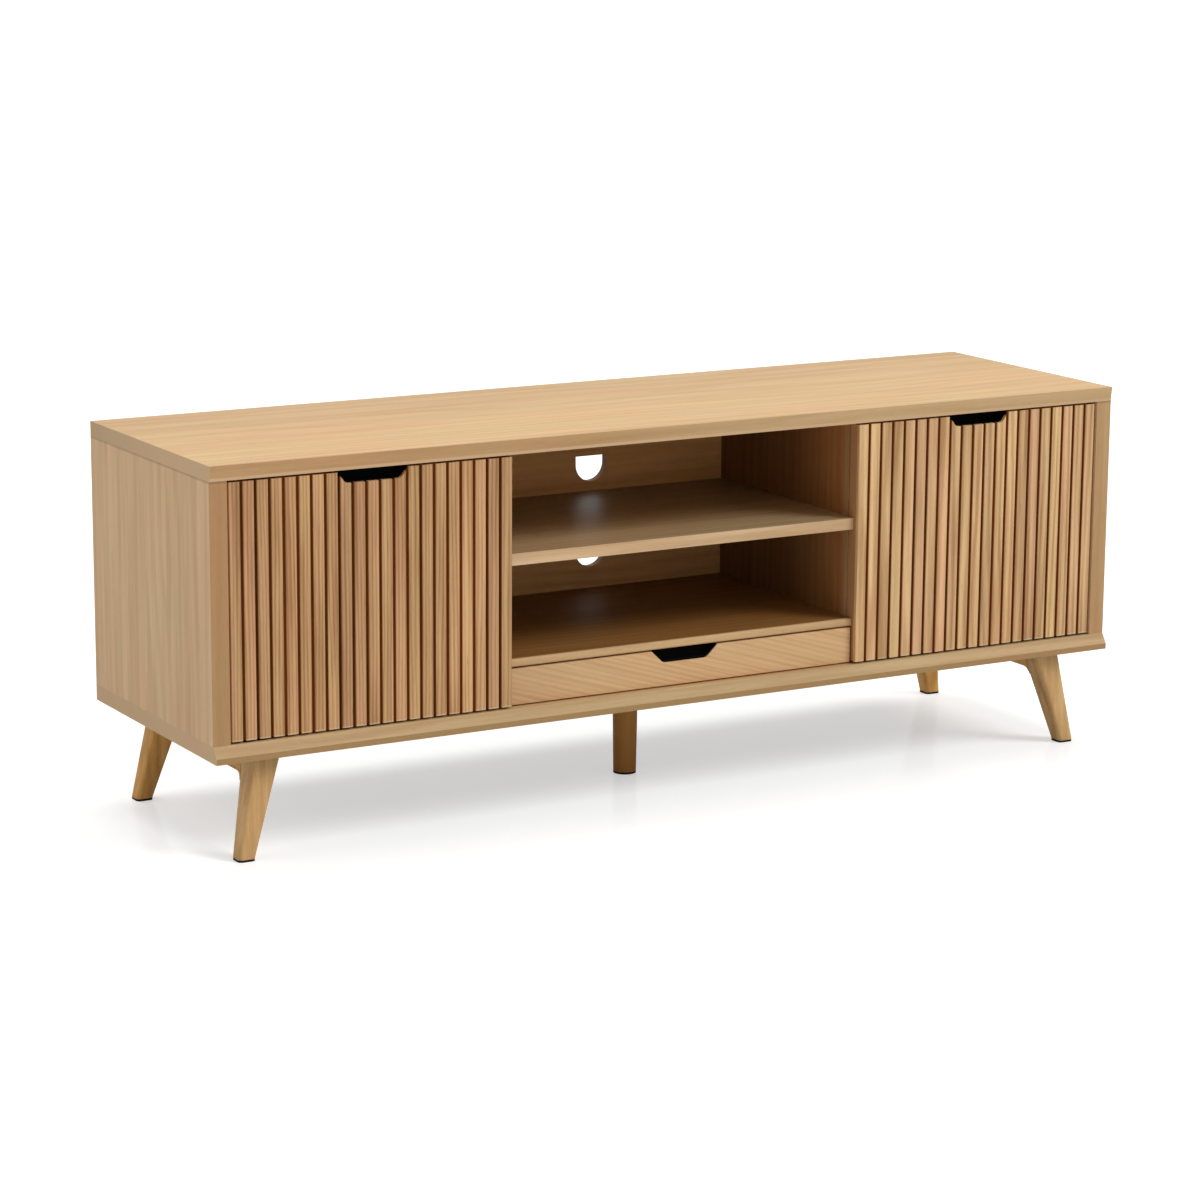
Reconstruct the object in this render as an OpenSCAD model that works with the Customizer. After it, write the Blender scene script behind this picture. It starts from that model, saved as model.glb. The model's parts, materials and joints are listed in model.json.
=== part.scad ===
// Low media cabinet: two slatted doors, an open bay with a shelf, a shallow drawer and five legs.
// Frame: X runs along the width, -Y is the front, +Z is up, and the floor is at Z = 0.

/* [Overall] */
// Width of the cabinet over its two ends
overall_w = 1400; // [1250:10:1700]
// Depth from the nose of the bottom board to the back
overall_d = 400; // [350:5:480]
// Height from the floor to the top
overall_h = 520; // [470:5:620]
// Clear height under the bottom board
leg_h = 138; // [115:1:165]

/* [Boards] */
// Thickness of the top board
top_t = 20; // [18:0.5:28]
// Thickness of the bottom board
bottom_t = 22; // [20:0.5:30]
// Thickness of each end panel
side_t = 24; // [19:0.5:30]
// Thickness of the two dividers
divider_t = 18; // [16:0.5:22]
// Depth of the solid lipping on the front edge of each divider
lipping_d = 10; // [6:1:20]
// Thickness of the back panel
back_t = 12; // [8:0.5:15]
// Distance from the back edges to the back panel
back_inset = 18; // [12:1:40]
// Depth of the groove that holds the back panel
groove_depth = 6; // [4:0.5:8]
// Overhang of the top board's arris in front of the end panels
top_out = 2.5; // [1:0.5:5]
// Height of the upright lip under the leaning front of the top board
top_lip = 4; // [2:0.5:8]
// How far the nose of the bottom board stands in front of the end panels
nose_out = 9; // [4:0.5:14]
// Height of the upright part of that nose
nose_h = 8; // [5:0.5:14]

/* [Bay] */
// Clear width of the open bay
bay_w = 540; // [440:5:640]
// Clear height of the drawer space
drawer_space_h = 53; // [48:1:70]
// Thickness of the board over the drawer
bay_floor_t = 11; // [9:0.5:18]
// Rounding of that board's front edge
bay_floor_r = 3; // [1:0.5:4]
// Clear height between that board and the shelf
lower_bay_h = 126; // [90:1:140]
// Thickness of the bay shelf
shelf_t = 16; // [14:0.5:22]
// Distance from the front of the slats to the front of the shelf
shelf_set = 9; // [4:1:14]
// Width of a cable cut-out
cable_w = 50; // [40:1:66]
// Height of a cable cut-out
cable_h = 37; // [33:1:50]
// Place of the cable cut-outs to the right of the centre
cable_x = 51; // [0:5:120]
// Height of the upper cut-out over the shelf
cable_rise = 14; // [8:1:24]
// Height of the lower cut-out over the board under it
cable_low_rise = 31; // [8:1:34]

/* [Doors] */
// Gap round each door
reveal = 3; // [2.5:0.1:4]
// Distance from a door's free edge to the line of the bay's wall
free_gap = 1; // [0.8:0.1:2]
// How far the doors lie behind the front edges of the end panels
door_set = 2; // [1:0.5:4]
// Thickness of the panel behind the slats
panel_t = 17; // [16:0.5:20]
// Number of slats on a door
slat_count = 21; // [14:1:26]
// Thickness of a slat
slat_t = 5; // [4:0.5:6.5]
// Gap between two slats
slat_gap = 4.1; // [3:0.1:7]
// Chamfer on the long edges of a slat
slat_chamfer = 0.8; // [0.4:0.1:1.5]
// Width of a finger cut-out at its open edge
pull_w = 104; // [85:1:120]
// Width of a door's finger cut-out at its bottom
pull_low_w = 80; // [60:1:84]
// Depth of a door's finger cut-out
pull_h = 16; // [12:0.5:24]
// Rounding of the two lower corners of a finger cut-out
pull_r = 11; // [4:0.5:13]
// Wall of the cup behind a finger cut-out
cup_t = 1.5; // [1:0.1:2.5]

/* [Hinges and catches] */
// Diameter of a hinge pin
pin_d = 4; // [3:0.5:4.5]
// Radial running clearance of a hinge pin in its leaf
pin_clear = 0.05; // [0.03:0.01:0.1]
// Thickness of the hinge plates and leaves
leaf_t = 2.5; // [2:0.1:3]
// Width of a hinge plate or leaf
leaf_w = 11; // [10:0.5:13]
// Length of a hinge plate or leaf
leaf_l = 52; // [44:1:70]
// Diameter of the screws of the hinges and the runners
screw_d = 3.5; // [3:0.5:4]
// Length of a magnetic catch
catch_l = 42; // [30:1:60]
// Depth of a magnetic catch
catch_w = 14; // [10:1:20]
// Height of a magnetic catch
catch_h = 11; // [8:0.5:14]

/* [Drawer] */
// Thickness of the drawer front
drawer_front_t = 16; // [14:0.5:20]
// Gap round the drawer front
drawer_reveal = 2; // [1.5:0.1:3]
// Depth of the drawer's finger cut-out
drawer_pull_h = 17; // [12:0.5:20]
// Width of the drawer's finger cut-out at its bottom
drawer_pull_low_w = 68; // [56:1:84]
// Thickness of the drawer's sides and back
drawer_side_t = 15; // [14:0.5:18]
// Thickness of the drawer's bottom
drawer_bottom_t = 5; // [4:0.5:6]
// Length of the drawer's sides
drawer_l = 300; // [260:5:320]
// Gap between a drawer side and its divider
drawer_gap = 2; // [1.5:0.1:3]
// Height of a runner
runner_h = 14; // [12:0.5:16]
// Depth of the groove that takes the runner
runner_groove = 8; // [6:0.5:9]
// Clearance of the runner in its groove
runner_clear = 0.4; // [0.3:0.1:0.8]

/* [Legs] */
// Width of a corner leg at its top
leg_top_w = 39; // [34:1:50]
// Depth of a corner leg at its top
leg_top_d = 36; // [32:1:46]
// Width and depth of a corner leg at its foot
leg_foot_w = 24; // [20:1:32]
// Rounding of a corner leg's edges
leg_r = 6; // [3:0.5:9]
// Outward lean of a corner leg along the width
leg_splay_x = 34; // [0:1:44]
// Outward lean of a corner leg along the depth
leg_splay_y = 14; // [6:1:22]
// Distance from the end of the cabinet to the middle of a foot
foot_in_x = 50; // [30:1:90]
// Distance from the back, and from the nose, to the middle of a foot
foot_in_y = 32; // [22:1:60]
// Height of the rail that ties a front and a back leg
rail_h = 29; // [16:0.5:34]
// Radius of the cove where the rail runs into a leg
cove_r = 12; // [6:1:18]
// Distance of the centre leg in front of the middle of the depth
centre_leg_front = 20; // [0:5:60]
// Diameter of the centre leg at its top
centre_top_d = 36; // [32:1:44]
// Diameter of the centre leg at its foot
centre_foot_d = 32; // [26:1:40]
// Thickness of a glide
glide_t = 3; // [2:0.5:6]

/* [Board fittings] */
// Diameter of a dowel in the end of an upright
dowel_d = 8; // [6:0.5:10]
// Diameter of a dowel in the end of a bay board
shelf_dowel_d = 6; // [5:0.5:8]
// Diameter of a cam lock
cam_d = 15; // [12:0.5:16]
// Diameter of a cam bolt
cam_bolt_d = 6; // [5:0.5:7]
// Diameter of a shelf pin
shelf_pin_d = 5; // [4:0.5:6]
// Distance between two heights at which a loose shelf can lie
pin_step = 32; // [25:1:40]
// Thickness of the loose shelf in each cupboard
loose_shelf_t = 16; // [14:0.5:20]
// Diameter of a leg bolt
leg_bolt_d = 8; // [6:0.5:10]

/* [Hidden] */
$fn = 48;
// How far a cutter runs past the face that it opens
past = 1;

// Main planes of the carcass
half_w = overall_w / 2;
back_y = overall_d / 2;
side_y = nose_out - back_y;
top_y = side_y - top_out;
deck_z = leg_h + bottom_t;
ceil_z = overall_h - top_t;
upright_h = ceil_z - deck_z;
side_x = half_w - side_t;
bay_x = bay_w / 2;
cupboard_x = bay_x + divider_t;
back_panel_y = back_y - back_inset - back_t;

// Doors
door_y = side_y + door_set;
panel_y = door_y + slat_t;
door_back_y = panel_y + panel_t;
door_in = bay_x + free_gap;
door_out = side_x - reveal;
door_w = door_out - door_in;
door_mid = (door_in + door_out) / 2;
door_low = deck_z + reveal;
door_top = ceil_z - reveal;
slat_w = (door_w - (slat_count - 1) * slat_gap) / slat_count;

// Dividers, bay boards and loose shelves
divider_y = door_back_y + 2;
divider_board_y = divider_y + lipping_d;
bay_floor_z = deck_z + drawer_space_h;
bay_deck_z = bay_floor_z + bay_floor_t;
shelf_z = bay_deck_z + lower_bay_h;
shelf_y = door_y + shelf_set;
loose_z = deck_z + upright_h / 2;
loose_y = divider_y + 20;
loose_l = back_panel_y - loose_y - 3;
loose_gap = 1;

// Fittings in the ends of the uprights
joint_in = 8;
joint_front_y = divider_y + 45;
joint_back_y = back_panel_y - 40;
cam_step = 32;
dowel_ys = [joint_front_y, joint_back_y];
cam_ys = [joint_front_y + cam_step, joint_back_y - cam_step];
joint_xs = [cupboard_x - joint_in, side_x + joint_in];
dowel_board = 12;
dowel_end = 20;
cam_depth = 12;
cam_up = 24;
cam_board = 11;
bolt_short = 2;

// Fittings in the bay boards and the pins of the loose shelves
shelf_dowel_in = 10;
shelf_dowel_l = 24;
shelf_dowel_ys = [divider_board_y + 50, back_panel_y - 70];
shelf_dowel_zs = [bay_floor_z + bay_floor_t / 2, shelf_z + shelf_t / 2];
pin_in = 8;
pin_out = 8;
pin_edge = 40;
pin_ys = [loose_y + pin_edge, loose_y + loose_l - pin_edge];
pin_z = loose_z - shelf_pin_d / 2;
free_pin_levels = [-2, -1, 1, 2];

// Hinges: the pin stands back far enough for the door's front corner to swing inside the reveal
pivot_back = slat_t + pin_d;
swing_room = reveal - 0.3;
pivot_in = (pivot_back ^ 2 - swing_room ^ 2) / (2 * swing_room);
pivot_x = door_out - pivot_in;
pivot_y = door_y + pivot_back;
leaf_front = 3.5;
leaf_out = 8;
leaf_screws = [16, leaf_l - leaf_out - 8];
hinge_screw_l = 14;
pin_top = reveal + leaf_t + 4;
washer_d = 9;
washer_gap = 0.4;

// Catches
catch_x = cupboard_x + 12;
strike_t = 1.2;
catch_gap = 0.6;

// Drawer
front_y = shelf_y;
front_back_y = front_y + drawer_front_t;
front_low = deck_z + drawer_reveal;
front_h = drawer_space_h - 2 * drawer_reveal;
front_x = bay_x - drawer_reveal;
box_x = bay_x - drawer_gap;
box_in = box_x - drawer_side_t;
box_low = deck_z + 5;
box_h = drawer_space_h - 14;
box_back_y = front_back_y + drawer_l;
bottom_groove = 6;
bottom_z = box_low + 4;
groove_z = bottom_z + drawer_bottom_t + 1.5;
groove_h = runner_h + 2 * runner_clear;
runner_y = divider_board_y + 4;
runner_l = box_back_y - 16 - runner_y;
runner_w = drawer_gap + runner_groove - 0.5;
runner_z = groove_z + runner_clear;
runner_screw_l = runner_w + 12;
runner_screw_ys = [
    joint_front_y - 16,
    (joint_front_y + joint_back_y) / 2,
    joint_back_y - cam_step - 18
];
drawer_dowel_d = 5;
drawer_dowel_l = 24;
drawer_dowel_x = box_in + bottom_groove + 1 + drawer_dowel_d / 2;
drawer_dowel_y = box_back_y - drawer_side_t + bottom_groove + 1.5 + drawer_dowel_d / 2;
drawer_dowel_zs = [box_low + 5, box_low + box_h - 5];

// Legs and rails
foot_x = half_w - foot_in_x;
foot_y = back_y - foot_in_y;
leg_x = foot_x - leg_splay_x;
leg_y = foot_y - leg_splay_y;
end_slab = 1;
inner_corner = 1;
lean_h = leg_h - glide_t - end_slab;
bolt_in_board = 14;
bolt_in_leg = 34;
rail_screw_d = 5;
rail_screw_l = rail_h + 14;
rail_screw_step = 90;

oak = "burlywood";
pale_wood = "wheat";
dark_stain = "saddlebrown";
steel = "silver";
black = "dimgray";

// ---- Shared shapes ----

// The children and their mirror image on the other side of the width
module both_sides() {
    children();
    mirror([1, 0, 0]) children();
}

// The children and their mirror image on the other side of the depth
module both_ends() {
    children();
    mirror([0, 1, 0]) children();
}

// The children and their mirror image half-way up the uprights
module both_levels() {
    children();
    translate([0, 0, deck_z + ceil_z]) mirror([0, 0, 1]) children();
}

// Runs a profile drawn in Y and Z along X, from x0 to x1
module along_x(x0, x1) {
    translate([x0, 0, 0]) rotate([90, 0, 90]) linear_extrude(x1 - x0) children();
}

// Runs a profile drawn in X and Z along Y, from y0 to y1
module along_y(y0, y1) {
    translate([0, y1, 0]) rotate([90, 0, 0]) linear_extrude(y1 - y0) children();
}

// A box from its lowest corner to its highest corner
module block(low, high) {
    translate(low) cube(high - low);
}

// A countersunk screw along +Z, with the flat of its head at the origin
module screw(d, l) {
    cylinder(d1 = 2 * d, d2 = d, h = d / 2);
    cylinder(d = d, h = l);
}

// Points on an arc, from one angle to another
function arc(x, y, r, from, to, steps = 8) =
    [for (i = [0:steps]) let (a = from + (to - from) * i / steps) [x + r * cos(a), y + r * sin(a)]];

function mirrored(points) = [for (i = [len(points) - 1:-1:0]) [-points[i][0], points[i][1]]];

// Right half of a finger cut-out: from its open edge down the leaning side and round the corner
function pull_half(depth, low_w, inset) =
    let (lean = atan((pull_w - low_w) / 2 / depth))
    let (side = inset / cos(lean))
    let (low = depth - inset)
    let (r = pull_r - inset)
    let (corner_x = low_w / 2 + inset * tan(lean) - side)
    let (reach = r / tan((90 + lean) / 2))
    concat(
        [[pull_w / 2 + past * tan(lean) - side, past]],
        arc(corner_x - reach, r - low, r, -lean, -90)
    );

// Outline of a finger cut-out with its open edge at height 0, drawn inset by a wall
module pull_outline(depth, low_w, inset = 0) {
    half = pull_half(depth, low_w, inset);
    polygon(concat(half, mirrored(half)));
}

// Outline of a cable cut-out, flat at its top and round at its bottom
module cable_outline() {
    r = cable_w / 2;
    polygon(concat([[-r, cable_h], [r, cable_h]], arc(0, r, r, 360, 180, 24)));
}

// ---- Carcass boards ----

// The back panel before its cut-outs, which also cuts the grooves that hold it
module back_blank() {
    block([-side_x - groove_depth, back_panel_y, deck_z - groove_depth],
        [side_x + groove_depth, back_panel_y + back_t, ceil_z + groove_depth]);
}

// Everything that is let into the ends of the uprights and the boards over and under them
module upright_fittings() {
    board_dowels();
    cam_bolts();
    cam_sockets();
}

module top_board() {
    color(oak) difference() {
        along_x(-half_w, half_w) polygon([
            [top_y, overall_h],
            [side_y, ceil_z + top_lip],
            [side_y, ceil_z],
            [back_y, ceil_z],
            [back_y, overall_h]
        ]);
        back_blank();
        upright_fittings();
        hinge_plates();
        plate_screws();
        hinge_pins();
    }
}

module bottom_board() {
    color(oak) difference() {
        along_x(-half_w, half_w) polygon([
            [-back_y, leg_h],
            [back_y, leg_h],
            [back_y, deck_z],
            [side_y, deck_z],
            [-back_y, leg_h + nose_h]
        ]);
        back_blank();
        upright_fittings();
        hinge_plates();
        plate_screws();
        hinge_pins();
        leg_bolts();
        rail_screws();
    }
}

module right_side() {
    color(oak) difference() {
        block([side_x, side_y, deck_z], [half_w, back_y, ceil_z]);
        back_blank();
        upright_fittings();
        shelf_pins();
        free_pin_holes(side_x - past);
    }
}

module left_side() {
    mirror([1, 0, 0]) right_side();
}

module right_divider() {
    color(oak) difference() {
        block([bay_x, divider_board_y, deck_z], [cupboard_x, back_panel_y, ceil_z]);
        upright_fittings();
        shelf_pins();
        free_pin_holes(cupboard_x - pin_in);
        shelf_dowels();
        runner_screws();
    }
}

module left_divider() {
    mirror([1, 0, 0]) right_divider();
}

module divider_lippings() {
    color(oak) both_sides() block([bay_x, divider_y, deck_z], [cupboard_x, divider_board_y, ceil_z]);
}

module bay_shelf() {
    color(oak) difference() {
        block([-bay_x, shelf_y, shelf_z], [bay_x, back_panel_y, shelf_z + shelf_t]);
        shelf_dowels();
    }
}

module bay_floor() {
    r = bay_floor_r;
    color(oak) difference() {
        along_x(-bay_x, bay_x) polygon(concat(
            arc(shelf_y + r, bay_deck_z - r, r, 90, 180),
            arc(shelf_y + r, bay_floor_z + r, r, 180, 270),
            [[back_panel_y, bay_floor_z], [back_panel_y, bay_deck_z]]
        ));
        shelf_dowels();
    }
}

module back_panel() {
    color(oak) difference() {
        back_blank();
        for (z = [bay_deck_z + cable_low_rise, shelf_z + shelf_t + cable_rise])
            translate([cable_x, 0, z])
                along_y(back_panel_y - past, back_panel_y + back_t + past) cable_outline();
    }
}

module right_cupboard_shelf() {
    color(oak) block([cupboard_x + loose_gap, loose_y, loose_z],
        [side_x - loose_gap, loose_y + loose_l, loose_z + loose_shelf_t]);
}

module left_cupboard_shelf() {
    mirror([1, 0, 0]) right_cupboard_shelf();
}

// ---- Board fittings ----

module board_dowels() {
    color(pale_wood) both_sides() both_levels() for (x = joint_xs, y = dowel_ys)
        translate([x, y, deck_z - dowel_board]) cylinder(d = dowel_d, h = dowel_board + dowel_end);
}

module cam_bolts() {
    color(steel) both_sides() both_levels() for (x = joint_xs, y = cam_ys)
        translate([x, y, deck_z - cam_board])
            cylinder(d = cam_bolt_d, h = cam_board + cam_up - bolt_short);
}

// The round sockets of the cam locks
module cam_sockets() {
    both_sides() both_levels() for (x = [cupboard_x - cam_depth, side_x], y = cam_ys)
        translate([x, y, deck_z + cam_up]) rotate([0, 90, 0]) cylinder(d = cam_d, h = cam_depth);
}

module cam_locks() {
    color(steel) difference() {
        cam_sockets();
        cam_bolts();
    }
}

module shelf_dowels() {
    color(pale_wood) both_sides() for (y = shelf_dowel_ys, z = shelf_dowel_zs)
        translate([bay_x + shelf_dowel_in - shelf_dowel_l, y, z])
            rotate([0, 90, 0]) cylinder(d = shelf_dowel_d, h = shelf_dowel_l);
}

module shelf_pins() {
    color(steel) both_sides() for (x = [cupboard_x - pin_in, side_x - pin_out], y = pin_ys)
        translate([x, y, pin_z]) rotate([0, 90, 0]) cylinder(d = shelf_pin_d, h = pin_in + pin_out);
}

// The free holes over and under a row's pins, drilled from x on
module free_pin_holes(x) {
    for (level = free_pin_levels, y = pin_ys)
        translate([x, y, pin_z + level * pin_step])
            rotate([0, 90, 0]) cylinder(d = shelf_pin_d, h = pin_in + past);
}

// ---- Hinges and catches ----

// A flat strip with its face at z, over or under the line of the hinge pin
module hinge_strip(z) {
    block([pivot_x + leaf_out - leaf_l, pivot_y - leaf_front, z],
        [pivot_x + leaf_out, pivot_y - leaf_front + leaf_w, z + leaf_t]);
}

// The two screws of one strip, driven towards the side given by up
module strip_screws(z, up) {
    for (x = leaf_screws)
        translate([pivot_x - x, pivot_y - leaf_front + leaf_w / 2, z])
            mirror([0, 0, up ? 0 : 1]) screw(screw_d, hinge_screw_l);
}

module hinge_plates() {
    color(steel) both_sides() both_levels() difference() {
        hinge_strip(deck_z - leaf_t);
        strip_screws(deck_z, false);
        pin_rod(pin_d);
    }
}

module plate_screws() {
    color(steel) both_sides() both_levels() strip_screws(deck_z, false);
}

// A rod on the hinge line, from the underside of the plate to the end of the pin
module pin_rod(d) {
    translate([pivot_x, pivot_y, deck_z - leaf_t]) cylinder(d = d, h = leaf_t + pin_top);
}

module hinge_pins() {
    color(steel) both_sides() both_levels() pin_rod(pin_d);
}

module hinge_washers() {
    color(pale_wood) both_sides() both_levels() difference() {
        translate([pivot_x, pivot_y, deck_z]) cylinder(d = washer_d, h = reveal - washer_gap);
        pin_rod(pin_d);
    }
}

module right_hinge_leaves() {
    color(steel) both_levels() difference() {
        hinge_strip(door_low);
        strip_screws(door_low, true);
        pin_rod(pin_d + 2 * pin_clear);
    }
}

module left_hinge_leaves() {
    mirror([1, 0, 0]) right_hinge_leaves();
}

module right_leaf_screws() {
    color(steel) both_levels() strip_screws(door_low, true);
}

module left_leaf_screws() {
    mirror([1, 0, 0]) right_leaf_screws();
}

module door_catches() {
    y = door_back_y + strike_t + catch_gap;
    color(black) both_sides()
        block([catch_x, y, ceil_z - catch_h], [catch_x + catch_l, y + catch_w, ceil_z]);
}

module right_strike_plate() {
    color(steel) block([catch_x + 4, door_back_y, ceil_z - catch_h - 2],
        [catch_x + catch_l - 4, door_back_y + strike_t, door_top - 1]);
}

module left_strike_plate() {
    mirror([1, 0, 0]) right_strike_plate();
}

// ---- Doors ----

module right_door_panel() {
    color(dark_stain) difference() {
        block([door_in, panel_y, door_low], [door_out, door_back_y, door_top]);
        translate([door_mid, 0, door_top])
            along_y(panel_y - past, door_back_y + past) pull_outline(pull_h, pull_low_w);
        both_levels() hinge_strip(door_low);
        right_leaf_screws();
        both_levels() pin_rod(pin_d + 2);
    }
}

module left_door_panel() {
    mirror([1, 0, 0]) right_door_panel();
}

// Section of a slat, with its two front edges chamfered
module slat_outline() {
    c = slat_chamfer;
    polygon([[0, slat_t], [0, c], [c, 0], [slat_w - c, 0], [slat_w, c], [slat_w, slat_t]]);
}

module right_door_slats() {
    color(oak) difference() {
        for (i = [0:slat_count - 1])
            translate([door_in + i * (slat_w + slat_gap), door_y, door_low])
                linear_extrude(door_top - door_low) slat_outline();
        translate([door_mid, 0, door_top])
            along_y(door_y - past, panel_y + past) pull_outline(pull_h, pull_low_w, cup_t);
    }
}

module left_door_slats() {
    mirror([1, 0, 0]) right_door_slats();
}

// A cup that lines a finger cut-out between two planes and closes it at the back
module pull_cup(depth, low_w, y0, y1) {
    difference() {
        along_y(y0, y1) intersection() {
            pull_outline(depth, low_w);
            translate([-pull_w, -pull_w]) square([2 * pull_w, pull_w]);
        }
        along_y(y0 - past, y1 - cup_t) pull_outline(depth, low_w, cup_t);
    }
}

module right_door_cup() {
    color(black) translate([door_mid, 0, door_top])
        pull_cup(pull_h, pull_low_w, panel_y, door_back_y);
}

module left_door_cup() {
    mirror([1, 0, 0]) right_door_cup();
}

// ---- Drawer ----

// The drawer's bottom, which also cuts the grooves that hold it
module bottom_blank() {
    block([-box_in - bottom_groove, front_back_y - bottom_groove, bottom_z],
        [box_in + bottom_groove, box_back_y - drawer_side_t + bottom_groove,
            bottom_z + drawer_bottom_t]);
}

module drawer_front() {
    color(oak) difference() {
        block([-front_x, front_y, front_low], [front_x, front_back_y, front_low + front_h]);
        translate([0, 0, front_low + front_h])
            along_y(front_y - past, front_back_y + past)
                pull_outline(drawer_pull_h, drawer_pull_low_w);
        bottom_blank();
        drawer_dowels();
    }
}

module drawer_cup() {
    color(black) translate([0, 0, front_low + front_h])
        pull_cup(drawer_pull_h, drawer_pull_low_w, front_y + 2, front_back_y);
}

module drawer_right_side() {
    color(pale_wood) difference() {
        block([box_in, front_back_y, box_low], [box_x, box_back_y, box_low + box_h]);
        block([box_x - runner_groove, front_back_y - past, groove_z],
            [box_x + past, box_back_y + past, groove_z + groove_h]);
        bottom_blank();
        drawer_dowels();
    }
}

module drawer_left_side() {
    mirror([1, 0, 0]) drawer_right_side();
}

module drawer_back() {
    color(pale_wood) difference() {
        block([-box_in, box_back_y - drawer_side_t, box_low], [box_in, box_back_y, box_low + box_h]);
        bottom_blank();
        drawer_dowels();
    }
}

module drawer_bottom() {
    color(pale_wood) bottom_blank();
}

module drawer_dowels() {
    color(pale_wood) both_sides() for (z = drawer_dowel_zs) {
        translate([drawer_dowel_x, front_back_y - drawer_dowel_l / 2, z])
            rotate([-90, 0, 0]) cylinder(d = drawer_dowel_d, h = drawer_dowel_l);
        translate([box_in - drawer_dowel_l / 2, drawer_dowel_y, z])
            rotate([0, 90, 0]) cylinder(d = drawer_dowel_d, h = drawer_dowel_l / 2 + 5);
    }
}

module right_runner() {
    color(oak) difference() {
        block([bay_x - runner_w, runner_y, runner_z], [bay_x, runner_y + runner_l, runner_z + runner_h]);
        runner_screws();
    }
}

module left_runner() {
    mirror([1, 0, 0]) right_runner();
}

module runner_screws() {
    color(steel) both_sides() for (y = runner_screw_ys)
        translate([bay_x - runner_w, y, runner_z + runner_h / 2])
            rotate([0, 90, 0]) screw(screw_d, runner_screw_l);
}

// ---- Legs ----

// Section of a corner leg; its two edges that meet the rail have their own rounding
module leg_section(w, d, r_rail) {
    hull() for (side = [-1, 1]) {
        translate([side * (w / 2 - leg_r), d / 2 - leg_r]) circle(leg_r, $fn = 32);
        translate([side * (w / 2 - r_rail), r_rail - d / 2]) circle(r_rail, $fn = 32);
    }
}

module back_right_leg() {
    color(oak) difference() {
        hull() {
            translate([leg_x, leg_y, leg_h - end_slab])
                linear_extrude(end_slab) leg_section(leg_top_w, leg_top_d, inner_corner);
            translate([foot_x, foot_y, glide_t])
                linear_extrude(end_slab) leg_section(leg_foot_w, leg_foot_w, leg_r);
        }
        leg_bolts();
    }
}

module back_left_leg() {
    mirror([1, 0, 0]) back_right_leg();
}

module front_right_leg() {
    mirror([0, 1, 0]) back_right_leg();
}

module front_left_leg() {
    mirror([1, 0, 0]) front_right_leg();
}

// Place along a straight edge of a leg, from its top to its foot, at a height
function leg_edge(top, foot, z) = top + (foot - top) * (leg_h - end_slab - z) / lean_h;

// Side view of one end of a rail: its underside runs into the leaning leg in a cove
function rail_end() =
    let (face_top = leg_y - leg_top_d / 2)
    let (face_foot = foot_y - leg_foot_w / 2)
    let (lean = atan((face_foot - face_top) / lean_h))
    let (under = leg_h - rail_h)
    let (face = leg_edge(face_top, face_foot, under))
    let (centre = face + cove_r * ((1 - sin(lean)) * tan(lean) - cos(lean)))
    concat(
        arc(centre, under - cove_r, cove_r, 90, lean, 10),
        [[face_top, leg_h - end_slab], [face_top, leg_h]]
    );

module right_leg_rail() {
    half = rail_end();
    color(oak) difference() {
        intersection() {
            along_x(leg_x - leg_top_w, leg_x + 2 * leg_top_w) polygon(concat(half, mirrored(half)));
            along_y(-leg_y, leg_y) polygon([
                [leg_x - leg_top_w / 2, leg_h],
                [leg_x - leg_top_w / 2, leg_h - end_slab],
                [foot_x - leg_foot_w / 2, glide_t],
                [foot_x + leg_foot_w / 2, glide_t + end_slab],
                [leg_x + leg_top_w / 2, leg_h]
            ]);
        }
        rail_screws();
    }
}

module left_leg_rail() {
    mirror([1, 0, 0]) right_leg_rail();
}

module centre_leg() {
    color(oak) difference() {
        translate([0, -centre_leg_front, glide_t])
            cylinder(d1 = centre_foot_d, d2 = centre_top_d, h = leg_h - glide_t);
        leg_bolts();
    }
}

module leg_bolts() {
    color(steel) {
        both_sides() both_ends() translate([leg_x, leg_y, 0]) leg_bolt();
        translate([0, -centre_leg_front, 0]) leg_bolt();
    }
}

// A hanger bolt that runs from a leg up into the bottom board
module leg_bolt() {
    translate([0, 0, leg_h - bolt_in_leg])
        cylinder(d = leg_bolt_d, h = bolt_in_leg + bolt_in_board);
}

module rail_screws() {
    color(steel) both_sides() for (i = [-1, 0, 1])
        translate([leg_x, i * rail_screw_step, leg_h - rail_h]) screw(rail_screw_d, rail_screw_l);
}

module corner_glides() {
    w = leg_foot_w;
    flat = w - 2 * leg_r;
    color(black) both_sides() both_ends() translate([foot_x, foot_y, 0]) linear_extrude(glide_t) {
        square([w, flat], center = true);
        square([flat, w], center = true);
        for (x = [-1, 1], y = [-1, 1]) translate([x * flat / 2, y * flat / 2]) circle(leg_r);
    }
}

module centre_glide() {
    color(black) translate([0, -centre_leg_front, 0]) cylinder(d = centre_foot_d, h = glide_t);
}

top_board();
bottom_board();
left_side();
right_side();
left_divider();
right_divider();
divider_lippings();
bay_shelf();
bay_floor();
back_panel();
left_cupboard_shelf();
right_cupboard_shelf();
shelf_pins();
board_dowels();
shelf_dowels();
cam_bolts();
cam_locks();
hinge_plates();
hinge_pins();
hinge_washers();
plate_screws();
door_catches();
left_runner();
right_runner();
runner_screws();
left_leg_rail();
right_leg_rail();
front_left_leg();
front_right_leg();
back_left_leg();
back_right_leg();
centre_leg();
leg_bolts();
rail_screws();
corner_glides();
centre_glide();
left_door_panel();
left_door_slats();
left_door_cup();
left_hinge_leaves();
left_leaf_screws();
left_strike_plate();
right_door_panel();
right_door_slats();
right_door_cup();
right_hinge_leaves();
right_leaf_screws();
right_strike_plate();
drawer_front();
drawer_cup();
drawer_left_side();
drawer_right_side();
drawer_back();
drawer_bottom();
drawer_dowels();
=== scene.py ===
import json
import math

import bpy
from bpy.props import FloatProperty, FloatVectorProperty, PointerProperty
from mathutils import Matrix, Vector

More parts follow.
